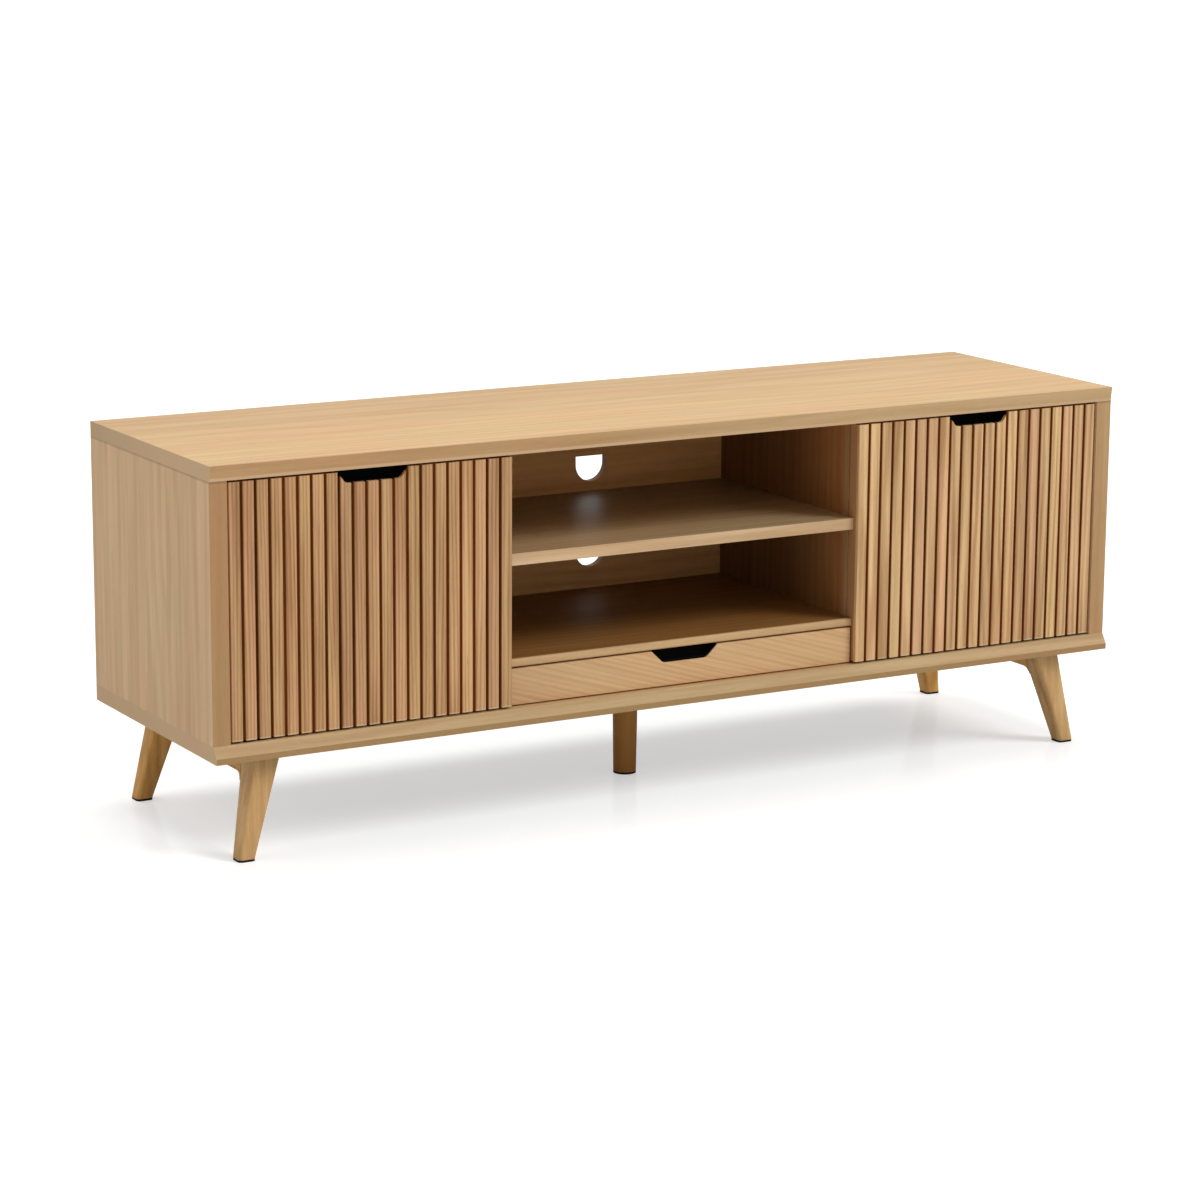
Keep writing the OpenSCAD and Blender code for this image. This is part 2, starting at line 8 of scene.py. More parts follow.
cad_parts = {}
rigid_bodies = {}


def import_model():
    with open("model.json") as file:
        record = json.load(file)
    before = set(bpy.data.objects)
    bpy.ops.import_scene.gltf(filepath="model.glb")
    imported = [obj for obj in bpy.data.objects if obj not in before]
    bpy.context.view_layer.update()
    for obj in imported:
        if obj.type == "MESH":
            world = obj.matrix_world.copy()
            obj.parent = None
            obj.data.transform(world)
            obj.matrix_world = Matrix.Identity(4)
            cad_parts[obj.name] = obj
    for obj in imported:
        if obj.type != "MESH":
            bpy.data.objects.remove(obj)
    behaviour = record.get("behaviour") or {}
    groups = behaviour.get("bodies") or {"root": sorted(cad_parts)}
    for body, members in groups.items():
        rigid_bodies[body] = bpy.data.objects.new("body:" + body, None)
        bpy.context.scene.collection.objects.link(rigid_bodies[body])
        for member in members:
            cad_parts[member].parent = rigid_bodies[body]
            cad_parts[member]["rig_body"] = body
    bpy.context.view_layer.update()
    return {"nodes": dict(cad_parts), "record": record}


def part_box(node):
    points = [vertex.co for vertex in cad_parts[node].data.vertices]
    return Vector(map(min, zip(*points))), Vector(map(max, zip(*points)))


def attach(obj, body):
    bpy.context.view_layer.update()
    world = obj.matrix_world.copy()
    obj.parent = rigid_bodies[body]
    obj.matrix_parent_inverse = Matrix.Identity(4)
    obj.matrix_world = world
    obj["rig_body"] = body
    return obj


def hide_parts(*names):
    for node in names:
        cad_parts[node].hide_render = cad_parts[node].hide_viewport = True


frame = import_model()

bl_info = {
    "name": "Slatted Media Cabinet",
    "version": (1, 0, 0),
    "blender": (4, 5, 0),
    "location": "3D View > Sidebar > Cabinet",
    "description": "Finishes a low oak media cabinet and lights it on a white floor",
    "category": "Object",
}

# Places of the axes in a vector
X, Y, Z = 0, 1, 2

# Places and sizes that several pieces share, in metres
TOP_LOW, TOP_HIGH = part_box("top_board")
BASE_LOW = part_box("bottom_board")[0]
SIDE_LOW, SIDE_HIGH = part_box("right_side")
SLATS_LOW, SLATS_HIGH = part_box("right_door_slats")
SLAT_COUNT = 21
SLAT_GAP = 0.0041
SLAT_PITCH = (SLATS_HIGH.x - SLATS_LOW.x + SLAT_GAP) / SLAT_COUNT
# Height of the painted highlight on a slat's lower end, and how far in from a door's outer flanks the
# stain starts
SLAT_HIGHLIGHT = 0.0018
FLANK_MARGIN = 0.001
# Thickness of the lipping on a board's front edge
LIPPING = 0.0012
# How far back the fronts of the top and the bay floor go, and the bevelled nose of the base
LIP_DEPTH = 0.003
NOSE_DEPTH = 0.012
# The painted shadow line under the top on the end panels: how far down it starts, and where it is full
SHADOW_LINE_START = 0.0035
SHADOW_LINE_FULL = 0.0015
# How far below the base the painted shade at the top of the corner legs starts
LEG_SHADE = 0.022

# Points this close are one, and faces this flat are one face
MERGE = 0.00001
FLAT = math.radians(0.5)
# Faces of a board that meet at more than this angle have an edge between them
CREASE = math.radians(8)
# Facets of a shaped piece that meet at less than this angle are one curve
CURVE = math.radians(30)
# How squarely a face must look along an axis to count as facing it, or as facing it partly
SQUARELY = 0.9
PARTLY = 0.5

# How often each layer of the grain varies in a metre, across the fibres and along them
DRIFT = (5.0, 1.1)
WANDER = (34.0, 4.0)
FIBRE = (620.0, 9.0)
STREAK = (95.0, 3.4)
CLOUD = (9.0, 2.2)
PORE = (1500.0, 46.0)
PATCH = (13.0, 3.1)
# How far the drift and the wander bend the rings
DRIFT_BEND = 16.0
WANDER_BEND = 3.2
# How much of the figure each layer gives
RING_SHARE = 0.24
FIBRE_SHARE = 0.2
STREAK_SHARE = 0.34
CLOUD_SHARE = 0.22
# How far each seed moves the grain along its axis, and at most how far the strips differ
SEED_STEP = 7.31
STRIP_STEP = 9.0
# Where the middle of the log lies, seen along the grain, and how many rings it has in a metre
PITH = (0.31, 0.42)
RINGS = 190.0
SLAT_RINGS = 760.0
# Grain axis: the two axes across it and the one along it
GRAIN_AXES = {"x": (Y, Z, X), "y": (X, Z, Y), "z": (X, Y, Z)}
# How much darker an open pore is, and how deep the fibres stand
PORE_DARK = 0.2
FIBRE_BUMP = 0.22
FIBRE_HEIGHT = 0.0003
# What the cooler and the warmer patches of the wood do to each colour channel
COOLER = (0.99, 1.016, 1.016)
WARMER = (1.012, 0.976, 0.98)

# The slats: streaks of hue across and along them, contrast of the grain, and how tones differ
SLAT_STREAK = (240.0, 0.9)
SLAT_CONTRAST = 0.95
SLAT_SPREAD = 0.2
# How strong the painted highlight on a slat's lower end is, and how the stain and painted shade on its
# flanks compare with the ground's stain
TIP_HIGHLIGHT = 0.55
FLANK_STAIN_AND_SHADE = 1.3
# How much the depth of the stain differs from gap to gap, and what is taken off it
STAIN_SPREAD = 1.1
STAIN_LESS = 0.05
# Each door's seed, and what it does to each colour channel of the slats: painted light, brighter on the
# right door for more light from the right
DOORS = {"left": (21.0, (0.97, 0.95, 1.0)), "right": (22.0, (1.2, 1.28, 1.42))}

# How often the textures of plastic and zinc vary in a metre along each axis, and how deep they are
MOULD = (2600.0, 2600.0, 2600.0)
SMUDGE = (60.0, 60.0, 60.0)
BATH = (240.0, 240.0, 240.0)
SCRATCH = (90.0, 1400.0, 1400.0)
FINE_HEIGHT = 0.0001
# The dull black of the finger cups
CUP = {"roughness": 0.85, "specular": 0.04}

# The floor: what it bounces onto the cabinet, then how it looks: matt, glow and faint gloss
WHITE = (1, 1, 1, 1)
FLOOR_BOUNCE = (0.78, 0.78, 0.78, 1)
FLOOR_MATT = (0.79, 0.8, 0.8, 1)
FLOOR_GLOW = 0.45
FLOOR_GLOSS = (0.06, 0.06, 0.06, 1)
FLOOR_GLOSS_BLUR = 0.12
# Each lamp's setting, how wide it is in degrees, and where it shines
LAMPS = (("overhead", 34, (0.0, -0.27, -1.0)),
         ("key", 26, (-0.54, 0.54, -0.64)),
         ("side", 40, (0.76, -0.1, -0.64)))
CAMERA_PLACE = (-2.4755, -4.2700, 1.3108)
CAMERA_YAW = math.radians(29.80)
CAMERA_PITCH = math.radians(-12.21)
CAMERA_ROLL = math.radians(0.38)
SENSOR_WIDTH = 36
FAR_CLIP = 400


def tint(red, green, blue):
    """A display colour of 0 to 255 a channel, as the linear colour that shaders take."""
    def linear(value):
        share = value / 255
        return share / 12.92 if share <= 0.04045 else ((share + 0.055) / 1.055) ** 2.4
    return (linear(red), linear(green), linear(blue))


def colour(name, description, default):
    """A colour setting."""
    return FloatVectorProperty(
        name=name, description=description, default=default, subtype="COLOR", min=0, max=1)


class CabinetWood(bpy.types.PropertyGroup):
    """Colours and grain of the oak."""
    face: colour("Board faces", "Lacquered veneer on the flat faces", tint(227, 190, 140))
    face_dark: colour("Board grain", "Darker grain lines of the veneer", tint(193, 151, 102))
    edge: colour("Front edges", "Solid lippings on the front edges", tint(213, 171, 122))
    edge_dark: colour("Front edge grain", "Grain lines of the lippings", tint(178, 136, 90))
    # Painted highlight: the top's upright lip is paler than the leaning lipping above it, for the light
    # line along the top's lower front edge.
    lip: colour("Top lip", "Upright lip under the leaning front of the top", tint(214, 178, 136))
    # Painted shade: the base's upright nose is darker and more orange than its bevel, for the less light
    # it gets near the floor.
    nose: colour("Base nose", "Upright nose of the bottom board", tint(179, 142, 94))
    # The top's front lipping turns to this colour toward the right as painted light; the base's lipping
    # has it as its own colour.
    edge_olive: colour("Paler edges", "Paler strips among the lippings", tint(218, 185, 136))
    edge_olive_dark: colour("Paler edge grain", "Their grain lines", tint(186, 150, 103))
    end: colour("End panels", "Veneer of the end panels", tint(232, 197, 152))
    end_dark: colour("End panel grain", "Grain lines of the end panels", tint(192, 154, 112))
    end_edge: colour("End panel edges", "Front edges of the end panels", tint(194, 152, 106))
    # Painted light: the right end panel's front edge is paler than the left's, for more light from the
    # right.
    lit_end_edge: colour("Right end panel edge", "Its paler front edge", tint(209, 171, 123))
    end_grain: colour("Board ends", "Ends of the top and bottom boards", tint(210, 176, 134))
    slat: colour("Slats, yellow", "The yellower of the slats", tint(227, 193, 127))
    slat_pink: colour("Slats, pink", "The pinker of the slats", tint(229, 170, 126))
    slat_dark: colour("Slats, grain", "Grain lines of the slats", tint(168, 120, 74))
    drawer: colour("Drawer front", "Veneer of the drawer front", tint(240, 200, 150))
    drawer_dark: colour("Drawer front grain", "Its darker figure", tint(205, 157, 108))
    leg: colour("Front legs", "Solid oak of the front legs", tint(240, 200, 140))
    leg_dark: colour("Front leg grain", "Their grain lines", tint(184, 134, 76))
    # Painted shade: the back legs and rails are a browner, more saturated copy of the front legs' oak,
    # for the shade they stand in.
    rear_shaded: colour("Back legs", "Browner oak of the back legs and rails", tint(247, 193, 112))
    rear_shaded_dark: colour("Back leg grain", "Their grain lines", tint(184, 126, 58))
    # Painted shade: the centre leg is a darker, more saturated copy of the legs' oak, for the shade
    # under the cabinet.
    turned: colour("Centre leg", "Darker oak of the turned leg", tint(188, 130, 64))
    # Partly painted shade: the veneer inside the bay is darker than the outer faces, for the shade in
    # the bay; elsewhere it is plain colour.
    inside: colour("Bay boards", "Veneer inside the bay", tint(190, 149, 102))
    inside_dark: colour("Bay grain", "Grain lines inside the bay", tint(160, 118, 74))
    mid: colour("Bay shelf", "Greyer veneer of the bay shelf", tint(193, 165, 126))
    mid_dark: colour("Bay shelf grain", "Its grain lines", tint(160, 132, 96))
    # Painted shade: the bay floor is darker than the other bay boards, for the shade over the drawer.
    low: colour("Bay floor", "Darker veneer over the drawer", tint(155, 109, 56))
    low_dark: colour("Bay floor grain", "Its grain lines", tint(126, 84, 40))
    shelf: colour("Shelf edge", "Lipping of the bay shelf", tint(236, 205, 162))
    # Painted shade: the dividers are darker than the other bay boards, for the shade in the bay.
    wall_shaded: colour("Bay walls", "Darker veneer of the dividers", tint(166, 118, 70))
    wall_shaded_dark: colour("Bay wall grain", "Its grain lines", tint(138, 92, 50))
    back: colour("Back panel", "Veneer of the back panel", tint(251, 197, 127))
    back_dark: colour("Back panel grain", "Its grain lines", tint(216, 159, 95))
    cut: colour("Cable hole edges", "Browned edges of the sawn holes", tint(120, 78, 42))
    balance: colour("Underside", "Plain backing under the bottom board", tint(150, 145, 137))
    stain: colour("Door ground", "Dark stain behind the slats", tint(144, 83, 28))
    rim: colour("Door side edges", "Lipping on the doors' sides", tint(190, 138, 92))
    # Painted shade: the doors' tops and bottoms are browner, for the shade in the gaps above and below
    # the doors.
    rim_top_shade: colour("Door top edges", "Browner tops and bottoms of the doors", tint(132, 82, 36))
    bare: colour("Drawer wood", "Pale wood of the drawer box", tint(226, 204, 166))
    grain: FloatProperty(
        name="Grain strength", description="How strongly the grain shows",
        default=1.0, min=0, max=2, subtype="FACTOR")


class CabinetHardware(bpy.types.PropertyGroup):
    """Colours of the fittings."""
    black: colour("Black plastic", "Finger cups, glides and catches", (0.004, 0.004, 0.004))
    zinc: colour("Zinc", "Plated screws, plates and pins", (0.62, 0.62, 0.64))
    nylon: colour("Nylon", "Hinge washers", (0.05, 0.05, 0.05))
    easing: FloatProperty(
        name="Eased edges", description="Rounding of the boards' sharp edges",
        default=0.001, min=0.0002, max=0.002, unit="LENGTH")


class CabinetStage(bpy.types.PropertyGroup):
    """Floor, light and camera."""
    floor_size: FloatProperty(
        name="Floor size", description="Side of the square floor", default=120, unit="LENGTH")
    sky: FloatProperty(
        name="Sky light", description="Strength of the even white light", default=0.3, min=0, max=2)
    overhead: FloatProperty(
        name="Top light", description="Strength of the soft light overhead", default=1.13, min=0, max=10)
    key: FloatProperty(
        name="Front light", description="Strength of the soft light in front", default=1.4, min=0,
        max=10)
    side: FloatProperty(
        name="Side light", description="Strength of the soft light at the left", default=0.35, min=0,
        max=10)
    lens: FloatProperty(
        name="Lens", description="Focal length of the camera", default=108.57, unit="CAMERA")


# ---- Shader building ----

# Places of the colour sockets on a Mix node
MIX_MASK, MIX_FIRST, MIX_SECOND, MIX_RESULT = 0, 6, 7, 2


class Value:
    """A socket that varies over a surface. Expressions on values add their Math nodes."""

    def __init__(self, nodes, socket):
        self.nodes = nodes
        self.socket = socket

    def _math(self, operation, first, second):
        return self.nodes.node("Math", {"operation": operation}, {0: first, 1: second})

    def __add__(self, other):
        return self._math("ADD", self, other)

    __radd__ = __add__

    def __sub__(self, other):
        return self._math("SUBTRACT", self, other)

    def __rsub__(self, other):
        return self._math("SUBTRACT", other, self)

    def __mul__(self, other):
        return self._math("MULTIPLY", self, other)

    __rmul__ = __mul__

    def __truediv__(self, other):
        return self._math("DIVIDE", self, other)

    def __rtruediv__(self, other):
        return self._math("DIVIDE", other, self)

    def floor(self):
        return self._math("FLOOR", self, 0)

    def sine(self):
        return self._math("SINE", self, 0)

    def absolute(self):
        return self._math("ABSOLUTE", self, 0)

    def above(self, limit):
        return self._math("GREATER_THAN", self, limit)

    def below(self, limit):
        return self._math("LESS_THAN", self, limit)

    def larger(self, other):
        return self._math("MAXIMUM", self, other)


class Nodes:
    """A node tree that gets its nodes one by one."""

    def __init__(self, tree):
        self.tree = tree

    def node(self, kind, settings=None, sockets=None, out=0):
        """Adds a node, sets what it is, then fills its sockets with numbers or links."""
        made = self.tree.nodes.new("ShaderNode" + kind)
        for name, setting in (settings or {}).items():
            setattr(made, name, setting)
        for key, given in (sockets or {}).items():
            self.fill(made.inputs[key], given)
        return Value(self, made.outputs[out])

    def fill(self, socket, given):
        if isinstance(given, Value):
            self.tree.links.new(given.socket, socket)
        else:
            socket.default_value = given

    def outputs(self, value):
        """All that the node behind a value gives."""
        return [Value(self, output) for output in value.socket.node.outputs]

    def show(self, output, shader):
        """Makes a shader the one that the tree shows."""
        self.fill(self.tree.nodes[output].inputs["Surface"], shader)


class Finish(Nodes):
    """A material whose Principled shader is fed by the nodes that are asked for."""

    def __init__(self, name, roughness=0.5, metallic=0.0, specular=0.5):
        self.material = bpy.data.materials.new(name)
        self.material.use_nodes = True
        super().__init__(self.material.node_tree)
        self.shader = self.tree.nodes["Principled BSDF"]
        self.shader.inputs["Roughness"].default_value = roughness
        self.shader.inputs["Metallic"].default_value = metallic
        self.shader.inputs["Specular IOR Level"].default_value = specular

    def feed(self, name, given):
        """Links a value to a socket of the shader."""
        self.fill(self.shader.inputs[name], given)

    def split(self, coordinates):
        """The three numbers of a vector."""
        return self.outputs(self.node("SeparateXYZ", sockets={0: coordinates}))

    def place(self):
        """The three coordinates of the surface, in metres."""
        return self.split(self.node("TexCoord", out="Object"))

    def facing(self, axis):
        """How far the surface faces along an axis, from -1 to 1."""
        return self.split(self.node("TexCoord", out="Normal"))[axis]

    def vector(self, x, y, z):
        return self.node("CombineXYZ", sockets={0: x, 1: y, 2: z})

    def noise(self, vector, detail=2.0, roughness=0.5):
        return self.node(
            "TexNoise", {"noise_dimensions": "3D"},
            {"Vector": vector, "Scale": 1.0, "Detail": detail, "Roughness": roughness})

    def speckle(self, rates, detail=2.0):
        """Noise that varies at its own rate in a metre along each axis."""
        x, y, z = self.place()
        return self.noise(self.vector(x * rates[X], y * rates[Y], z * rates[Z]), detail)

    def chance(self, number, seed):
        """A random value from 0 to 1 for each whole number."""
        return self.node("TexWhiteNoise", {"noise_dimensions": "2D"},
                         {"Vector": self.vector(number, seed, 0.0)}, out="Value")

    def ramp(self, value, low, high, to_low=0.0, to_high=1.0):
        """Maps a range of a value to another range, and keeps it inside."""
        return self.node("MapRange", {"clamp": True},
                         {"Value": value, "From Min": low, "From Max": high,
                          "To Min": to_low, "To Max": to_high})

    def mix(self, mask, first, second):
        """The first colour where the mask is 0 and the second where it is 1."""
        first, second = (given if isinstance(given, Value) else (*given, 1.0)
                         for given in (first, second))
        return self.node("Mix", {"data_type": "RGBA"},
                         {MIX_MASK: mask, MIX_FIRST: first, MIX_SECOND: second}, out=MIX_RESULT)

    def shade(self, colour_value, factor):
        """A colour made darker or lighter by a factor."""
        return self.node("VectorMath", {"operation": "SCALE"},
                         {"Vector": colour_value, "Scale": factor})

    def tinted(self, colour_value, factors):
        """A colour with each channel made darker or lighter by its own factor."""
        return self.node("VectorMath", {"operation": "MULTIPLY"}, {0: colour_value, 1: factors})

    def bump(self, height, strength, distance):
        self.feed("Normal", self.node(
            "Bump", sockets={"Height": height, "Strength": strength, "Distance": distance},
            out="Normal"))


def rgb(value):
    """A colour setting as plain numbers."""
    return tuple(value[:3])


def scaled(value, factor):
    """A colour setting made darker or lighter by a factor."""
    return tuple(channel * factor for channel in rgb(value))


# ---- Wood ----

def strip_number(finish, strip):
    """Which strip of a board a place is in. strip is (start, width, axis)."""
    start, width, axis = strip
    return ((finish.place()[axis] - start) / width).floor()


def grain(finish, axis, seed, strip=None, pith=PITH, rings=RINGS, slope=0.0):
    """Grain that runs along an axis, with its own run in each strip.

    Gives the figure from 0 to 1, the fibres' height, a strip's chance, the pores and the warmth.
    """
    place = finish.place()
    u, v, length = (place[index] for index in GRAIN_AXES[axis])
    if slope:
        v = v + length * slope
    shift = seed * SEED_STEP
    chance = 0.5
    if strip:
        number = strip_number(finish, strip)
        shift = finish.chance(number, seed + 0.5) * STRIP_STEP + shift
        chance = finish.chance(number, seed)

    def layer(scale, detail, roughness=0.5, moved=shift):
        across, along = scale
        return finish.noise(
            finish.vector(u * across, v * across, length * along + moved), detail, roughness)

    span = finish.node("VectorMath", {"operation": "LENGTH"},
                       {0: finish.vector(u - pith[0], v - pith[1], 0.0)}, out="Value")
    phase = span * rings + layer(DRIFT, 2.0) * DRIFT_BEND + layer(WANDER, 3.0) * WANDER_BEND
    ring = finish.ramp((phase * 2.0).sine(), -0.4, 1.0)
    fibre = layer(FIBRE, 4.0, 0.6)
    figure = (ring * RING_SHARE + finish.ramp(fibre, 0.3, 0.75) * FIBRE_SHARE
              + finish.ramp(layer(STREAK, 3.0, 0.55), 0.35, 0.65) * STREAK_SHARE
              + finish.ramp(layer(CLOUD, 2.0), 0.34, 0.66) * CLOUD_SHARE)
    pore = finish.ramp(layer(PORE, 1.0), 0.63, 0.74)
    warmth = finish.ramp(layer(PATCH, 2.0, moved=-1.0 * shift), 0.36, 0.64)
    return figure, fibre, chance, pore, warmth


def fibrous(finish, fibre, pore, low, high):
    """Roughness from low to high, and relief, that follow the fibres and the pores."""
    finish.feed("Roughness", finish.ramp(fibre, 0.3, 0.7, low, high))
    finish.bump(fibre - pore * 0.5, FIBRE_BUMP, FIBRE_HEIGHT)


def wood(name, light, dark, axis, seed, strip=None, spread=0.0, roughness=0.55, edge=None,
         lit_edge=None, nose=None, ends=None, under=None, behind=None, cut=None, painted_shading=None,
         pith=PITH, slope=0.0, rings=RINGS, strength=1.0):
    """An oak finish. edge is (front plane, light, dark): a lipping of another colour in front.

    lit_edge is (from, to, light, dark): painted light, the paler colour that the lipping turns to along
    the width where more light falls.
    nose is (limit, colour): the part of the lipping that stands upright, in its own colour that is
    painted light: a painted highlight on the top's lip and painted shade on the base's nose.
    ends is (distance from the middle, colour): end grain where the board stops.
    under is the colour of the face that looks down.
    behind is (light, dark) of the face that looks back.
    cut is the colour of the faces between the front and the back.
    painted_shading is (axis, from, to, tone at the first, tone at the second): painted light and shade
    that change slowly along an axis.
    strip is (start, width, axis): a board glued up of strips, whose tones differ by spread.
    """
    settings = bpy.context.scene.cabinet_wood
    finish = Finish(name, roughness=roughness, specular=0.25)
    figure, fibre, chance, pore, warmth = grain(finish, axis, seed, strip, pith, rings, slope)
    amount = figure * (settings.grain * strength)
    base = finish.mix(amount, light, dark)
    if edge:
        plane, edge_light, edge_dark = edge
        lipping = finish.place()[Y].below(plane + LIPPING)
        front = finish.mix(amount, edge_light, edge_dark)
        if lit_edge:
            near, far, lit_edge_light, lit_edge_dark = lit_edge
            front = finish.mix(finish.ramp(finish.place()[X], near, far), front,
                               finish.mix(amount, lit_edge_light, lit_edge_dark))
        if nose:
            limit, nose_tone = nose
            front = finish.mix(finish.facing(Y).below(-limit), front, nose_tone)
        base = finish.mix(lipping, base, front)
    if ends:
        limit, end_tone = ends
        base = finish.mix(finish.place()[X].absolute().above(limit), base, end_tone)
    if under:
        base = finish.mix(finish.facing(Z).below(-SQUARELY), base, under)
    if behind:
        base = finish.mix(finish.facing(Y).above(SQUARELY), base, finish.mix(amount, *behind))
    if cut:
        base = finish.mix(finish.facing(Y).absolute().below(PARTLY), base, cut)
    base = finish.shade(base, 1.0 - pore * (PORE_DARK * strength))
    base = finish.tinted(base, finish.mix(warmth, COOLER, WARMER))
    # Painted light and shade: the colour is made darker or lighter along an axis
    if painted_shading:
        base = finish.shade(base, finish.ramp(finish.place()[painted_shading[0]], *painted_shading[1:]))
    if strip:
        base = finish.shade(base, (chance - 0.5) * spread + 1.0)
    finish.feed("Base Color", base)
    fibrous(finish, fibre, pore, roughness - 0.05, roughness + 0.07)
    return finish.material


def slat_wood(name, start, seed, light_level):
    """Oak of a door's slats, each with its own tone, hue and run of grain, with a painted highlight on
    its lower end and painted shade on its flanks.

    light_level is what each colour channel is multiplied by: painted light, brighter on the door that
    gets more light.
    """
    settings = bpy.context.scene.cabinet_wood
    yellow, pink, dark = (tuple(channel * factor for channel, factor in zip(tone, light_level))
                          for tone in (settings.slat, settings.slat_pink, settings.slat_dark))
    strip = (start - SLAT_GAP / 2, SLAT_PITCH, X)
    finish = Finish(name, roughness=0.55, specular=0.3)
    figure, fibre, chance, pore, warmth = grain(finish, "z", seed, strip, rings=SLAT_RINGS)
    number = strip_number(finish, strip)
    x, y, z = finish.place()
    across, along = SLAT_STREAK
    streak = finish.ramp(
        finish.noise(finish.vector(x * across, y * across, z * along + number * 3.7)), 0.38, 0.62)
    hue = finish.chance(number, seed + 3.0) * 0.4 + streak * 0.35 + warmth * 0.25
    base = finish.mix(hue, yellow, pink)
    contrast = finish.ramp(figure, 0.2, 0.75) * (SLAT_CONTRAST * settings.grain)
    base = finish.mix(contrast, base, dark)
    base = finish.shade(base, (chance - 0.5) * SLAT_SPREAD + 1.0)
    base = finish.shade(base, 1.0 - pore * PORE_DARK)
    # Painted highlight: the slat's lower end is paler, for the light its eased edge catches; the
    # drawer's pale wood gives the colour.
    base = finish.mix(z.below(SLATS_LOW.z + SLAT_HIGHLIGHT) * TIP_HIGHLIGHT, base, rgb(settings.bare))
    end = start + SLAT_COUNT * SLAT_PITCH - SLAT_GAP
    # Painted shade: the slats' flanks take the door's stain, which darkens the gaps between the slats as
    # shade would.
    between = x.above(start + FLANK_MARGIN) * x.below(end - FLANK_MARGIN)
    flank = finish.facing(X).absolute().above(SQUARELY)
    base = finish.mix(flank * between, base, scaled(settings.stain, FLANK_STAIN_AND_SHADE))
    finish.feed("Base Color", base)
    fibrous(finish, fibre, pore, 0.5, 0.64)
    return finish.material


def stained(name, start, seed):
    """Dark ground of a door, stained unevenly behind its slats, with pale veneer on its back."""
    settings = bpy.context.scene.cabinet_wood
    finish = Finish(name, roughness=0.75, specular=0.15)
    figure, fibre = grain(finish, "z", seed)[:2]
    x, _, z = finish.place()
    gap = ((x - start) / SLAT_PITCH + 0.5).floor()
    cloud = finish.noise(finish.vector(gap * 3.1, 0.0, z * 7.0))
    ground = finish.mix(figure, rgb(settings.stain), scaled(settings.stain, 0.6))
    ground = finish.shade(ground, finish.chance(gap, seed) * STAIN_SPREAD + cloud - STAIN_LESS)
    # The doors' side edges get their lipping colour; their tops and bottoms get a browner one that is
    # painted shade.
    for axis, tone in ((X, settings.rim), (Z, settings.rim_top_shade)):
        ground = finish.mix(finish.facing(axis).absolute().above(PARTLY), ground, rgb(tone))
    pale = finish.mix(figure * settings.grain, rgb(settings.face), rgb(settings.face_dark))
    finish.feed("Base Color", finish.mix(finish.facing(Y).above(SQUARELY), ground, pale))
    finish.feed("Roughness", finish.ramp(fibre, 0.3, 0.7, 0.6, 0.8))
    finish.bump(fibre, 0.2, FIBRE_HEIGHT)
    return finish.material


# ---- Hardware finishes ----

def plastic(name, tone, roughness, specular):
    """Moulded plastic with a fine spark-eroded texture."""
    finish = Finish(name, roughness=roughness, specular=specular)
    smudge = finish.speckle(SMUDGE)
    finish.feed("Base Color", finish.mix(smudge, tone, scaled(tone, 0.75)))
    finish.feed("Roughness", finish.ramp(smudge, 0.2, 0.8, roughness - 0.06, roughness + 0.06))
    finish.bump(finish.speckle(MOULD), 0.15, FINE_HEIGHT)
    return finish.material


def zinc_plate(name, tone):
    """Zinc-plated steel, a little uneven from the bath."""
    finish = Finish(name, roughness=0.32, metallic=1.0)
    bath = finish.speckle(BATH, detail=4.0)
    scratch = finish.speckle(SCRATCH)
    finish.feed("Base Color", finish.mix(bath, tone, scaled(tone, 0.78)))
    finish.feed("Roughness", finish.ramp(bath * 0.6 + scratch * 0.4, 0.3, 0.7, 0.24, 0.42))
    finish.bump(scratch, 0.08, FINE_HEIGHT)
    return finish.material


# ---- Modelling helpers ----

def deselect():
    if bpy.context.mode != "OBJECT":
        bpy.ops.object.mode_set(mode="OBJECT")
    bpy.ops.object.select_all(action="DESELECT")


def activate(piece):
    deselect()
    piece.select_set(True)
    bpy.context.view_layer.objects.active = piece


def paint(piece, material):
    """Gives a piece one material in every slot."""
    if not piece.data.materials:
        piece.data.materials.append(material)
    for index in range(len(piece.data.materials)):
        piece.data.materials[index] = material


def body_of(node):
    return frame["nodes"][node]["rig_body"]


def copy_of(node, suffix):
    """A clean copy of a CAD node: its loose triangles merged and its flat faces made whole."""
    source = frame["nodes"][node]
    piece = bpy.data.objects.new(node + suffix, source.data.copy())
    bpy.context.scene.collection.objects.link(piece)
    activate(piece)
    bpy.ops.object.mode_set(mode="EDIT")
    bpy.ops.mesh.select_all(action="SELECT")
    bpy.ops.mesh.remove_doubles(threshold=MERGE)
    bpy.ops.mesh.dissolve_limited(angle_limit=FLAT)
    bpy.ops.object.mode_set(mode="OBJECT")
    return piece


def stand_for(piece, node):
    """The piece takes a CAD node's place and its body."""
    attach(piece, body_of(node))
    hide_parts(node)


def eased(node, width, material):
    """A board with its sharp edges rounded over and its faces still flat."""
    piece = copy_of(node, "_eased")
    bpy.ops.object.shade_smooth_by_angle(angle=CREASE)
    bevel = piece.modifiers.new("Easing", "BEVEL")
    bevel.width = width
    bevel.segments = 2
    bevel.limit_method = "ANGLE"
    bevel.angle_limit = CREASE
    bevel.harden_normals = True
    bpy.ops.object.modifier_apply(modifier=bevel.name)
    paint(piece, material)
    stand_for(piece, node)


def smoothed(node, material):
    """A turned or shaped piece with its facets shaded as one curve."""
    piece = copy_of(node, "_smooth")
    bpy.ops.object.shade_smooth_by_angle(angle=CURVE)
    paint(piece, material)
    stand_for(piece, node)


def finish_nodes(material, *nodes):
    """Gives CAD nodes their finish."""
    for node in nodes:
        paint(frame["nodes"][node], material)


# ---- Operators ----

